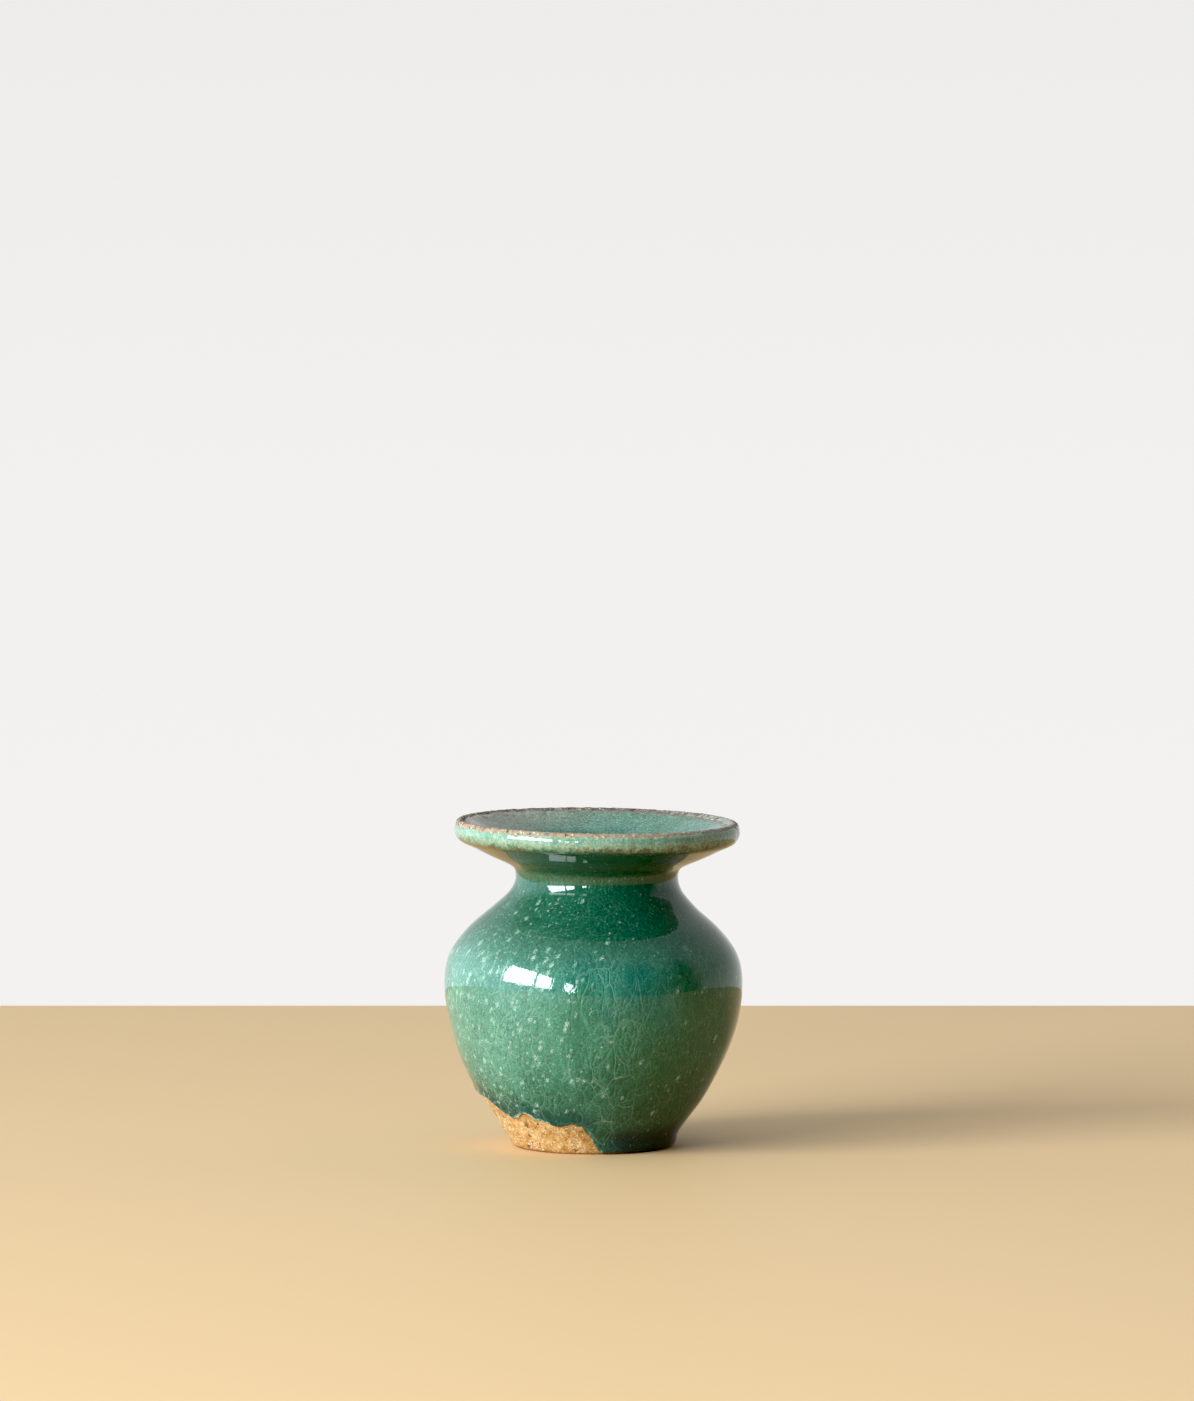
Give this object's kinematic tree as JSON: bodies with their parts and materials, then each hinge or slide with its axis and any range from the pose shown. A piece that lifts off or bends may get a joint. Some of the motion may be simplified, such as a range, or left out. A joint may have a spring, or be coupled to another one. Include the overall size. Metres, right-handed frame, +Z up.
{
  "type": "bud vase",
  "caption": "Small hand-thrown stoneware bud vase with a round belly, short neck, wide dished lip and crackle glaze; holds a few short stems.",
  "frame": {"origin": "centre of the foot, on the surface the vase stands on", "axes": "+Z up along the axis the pot was thrown on, +X to the right and -Y towards the side with the bare patch of clay"},
  "size_m": [0.06, 0.06, 0.0655],
  "materials": {
    "bare_clay": "matt, gritty, unglazed",
    "outside_glaze": "gloss, crackled",
    "inside_glaze": "gloss, crackled"
  },
  "bodies": {
    "root": {"clay_body": "bare_clay", "outer_glaze": "outside_glaze", "inner_glaze": "inside_glaze"}
  },
  "joints": []
}
